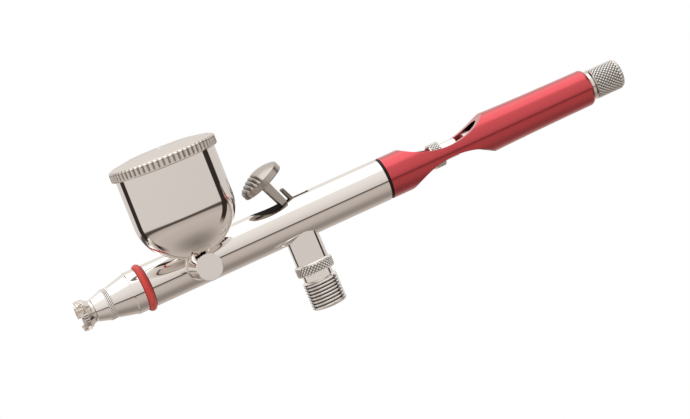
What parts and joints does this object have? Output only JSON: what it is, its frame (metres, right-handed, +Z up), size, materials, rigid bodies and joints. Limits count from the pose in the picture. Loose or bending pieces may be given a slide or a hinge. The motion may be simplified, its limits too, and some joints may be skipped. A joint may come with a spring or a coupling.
{
  "type": "airbrush gun",
  "caption": "Double-action airbrush gun with a side gravity cup, mushroom trigger, threaded air inlet below and a red handle with a cut-through waist and preset knob.",
  "frame": {"origin": "centre of the air inlet's lower end face, on the valve's axis", "axes": "+X along the barrel from the nozzle to the tail, +Z up along the valve towards the trigger, the feed stub and cup stand out to -Y"},
  "size_m": [0.1642, 0.0342, 0.0578],
  "materials": {
    "polished_nickel": "mirror-polished nickel plate",
    "turned_nickel": "turned and polished nickel plate",
    "knurled_nickel": "knurled nickel plate",
    "steel": "turned steel",
    "satin_steel": "satin steel",
    "needle_steel": "ground and polished",
    "spring_steel": "drawn wire",
    "brass": "turned brass",
    "red_anodised": "red anodised, satin",
    "red_rubber": "smooth moulded rubber",
    "dark_rubber": "moulded rubber",
    "black_ring": "smooth",
    "white_seal": "turned PTFE"
  },
  "bodies": {
    "gun_body": {"barrel": "polished_nickel", "feed_socket": "polished_nickel", "head_ring": "turned_nickel", "air_cap": "turned_nickel", "crown_cap": "turned_nickel", "colour_ring": "red_rubber", "fluid_nozzle": "turned_nickel", "nozzle_seal": "white_seal", "needle_packing": "white_seal", "packing_screw": "steel", "valve_casing": "knurled_nickel", "casing_seal": "white_seal", "guide_bush": "brass", "plunger_packing": "dark_rubber", "valve_spring": "spring_steel", "spring_retainer": "steel", "needle_spring": "spring_steel", "spring_housing": "turned_nickel", "handle_seal": "black_ring", "handle": "red_anodised", "tail_bush": "turned_nickel"},
    "plunger": {"valve_plunger": "steel", "valve_disc_seal": "dark_rubber"},
    "trigger": {"trigger_stem": "satin_steel", "trigger_button": "satin_steel"},
    "needle_group": {"needle": "needle_steel", "chuck_tube": "steel", "lever_pin": "steel"},
    "lever": {"back_lever": "steel"},
    "nut": {"chuck_nut": "knurled_nickel"},
    "feed": {"feed_elbow": "polished_nickel", "feed_seal": "white_seal", "elbow_plug": "polished_nickel", "cup_bowl": "polished_nickel"},
    "cup_lid": {"lid": "knurled_nickel", "lid_seal": "dark_rubber"},
    "preset_stop": {"stop_rod": "steel"},
    "preset_grip": {"preset_screw": "steel", "preset_knob": "knurled_nickel"}
  },
  "joints": [
    {"name": "valve_press", "type": "slide", "parent": "gun_body", "child": "plunger", "axis": [0, 0, -1], "range_m": [0, 0.0012], "stiffness_N_per_m": 600, "springref_m": -0.003, "deforming": ["valve_spring"]},
    {"name": "trigger_pull", "type": "hinge", "parent": "plunger", "child": "trigger", "pos_m": [0, 0, 0.0225], "axis": [0, 1, 0], "range_deg": [0, 20], "stiffness_Nm_per_rad": 0.03, "springref_deg": -20.05},
    {"name": "needle_slide", "type": "slide", "parent": "gun_body", "child": "needle_group", "axis": [1, 0, 0], "range_m": [0, 0.0022], "deforming": ["needle_spring"]},
    {"name": "lever_rock", "type": "hinge", "parent": "needle_group", "child": "lever", "pos_m": [0.00445, 0, 0.0229], "axis": [0, 1, 0], "range_deg": [0, 8]},
    {"name": "chuck_nut_turn", "type": "hinge", "parent": "needle_group", "child": "nut", "pos_m": [0.043, 0, 0.0248], "axis": [1, 0, 0], "range_deg": [0, 180]},
    {"name": "preset_advance", "type": "slide", "parent": "gun_body", "child": "preset_stop", "axis": [1, 0, 0], "range_m": [0, 0.0024]},
    {"name": "preset_turn", "type": "hinge", "parent": "preset_stop", "child": "preset_grip", "pos_m": [0.097, 0, 0.0248], "axis": [1, 0, 0], "range_deg": [0, 1080]},
    {"name": "cup_swivel", "type": "hinge", "parent": "gun_body", "child": "feed", "pos_m": [-0.0296, -0.0066, 0.0248], "axis": [0, 1, 0], "range_deg": [-20, 18]},
    {"name": "lid_lift", "type": "slide", "parent": "feed", "child": "cup_lid", "axis": [0.0262, 0, 0.9997], "range_m": [0, 0.015]}
  ],
  "couplings": [
    {"joint": "needle_slide", "follows": "trigger_pull", "m_per_rad": 0.0063},
    {"joint": "lever_rock", "follows": "trigger_pull", "ratio": 0.4},
    {"joint": "preset_turn", "follows": "preset_advance", "rad_per_m": 7854}
  ]
}
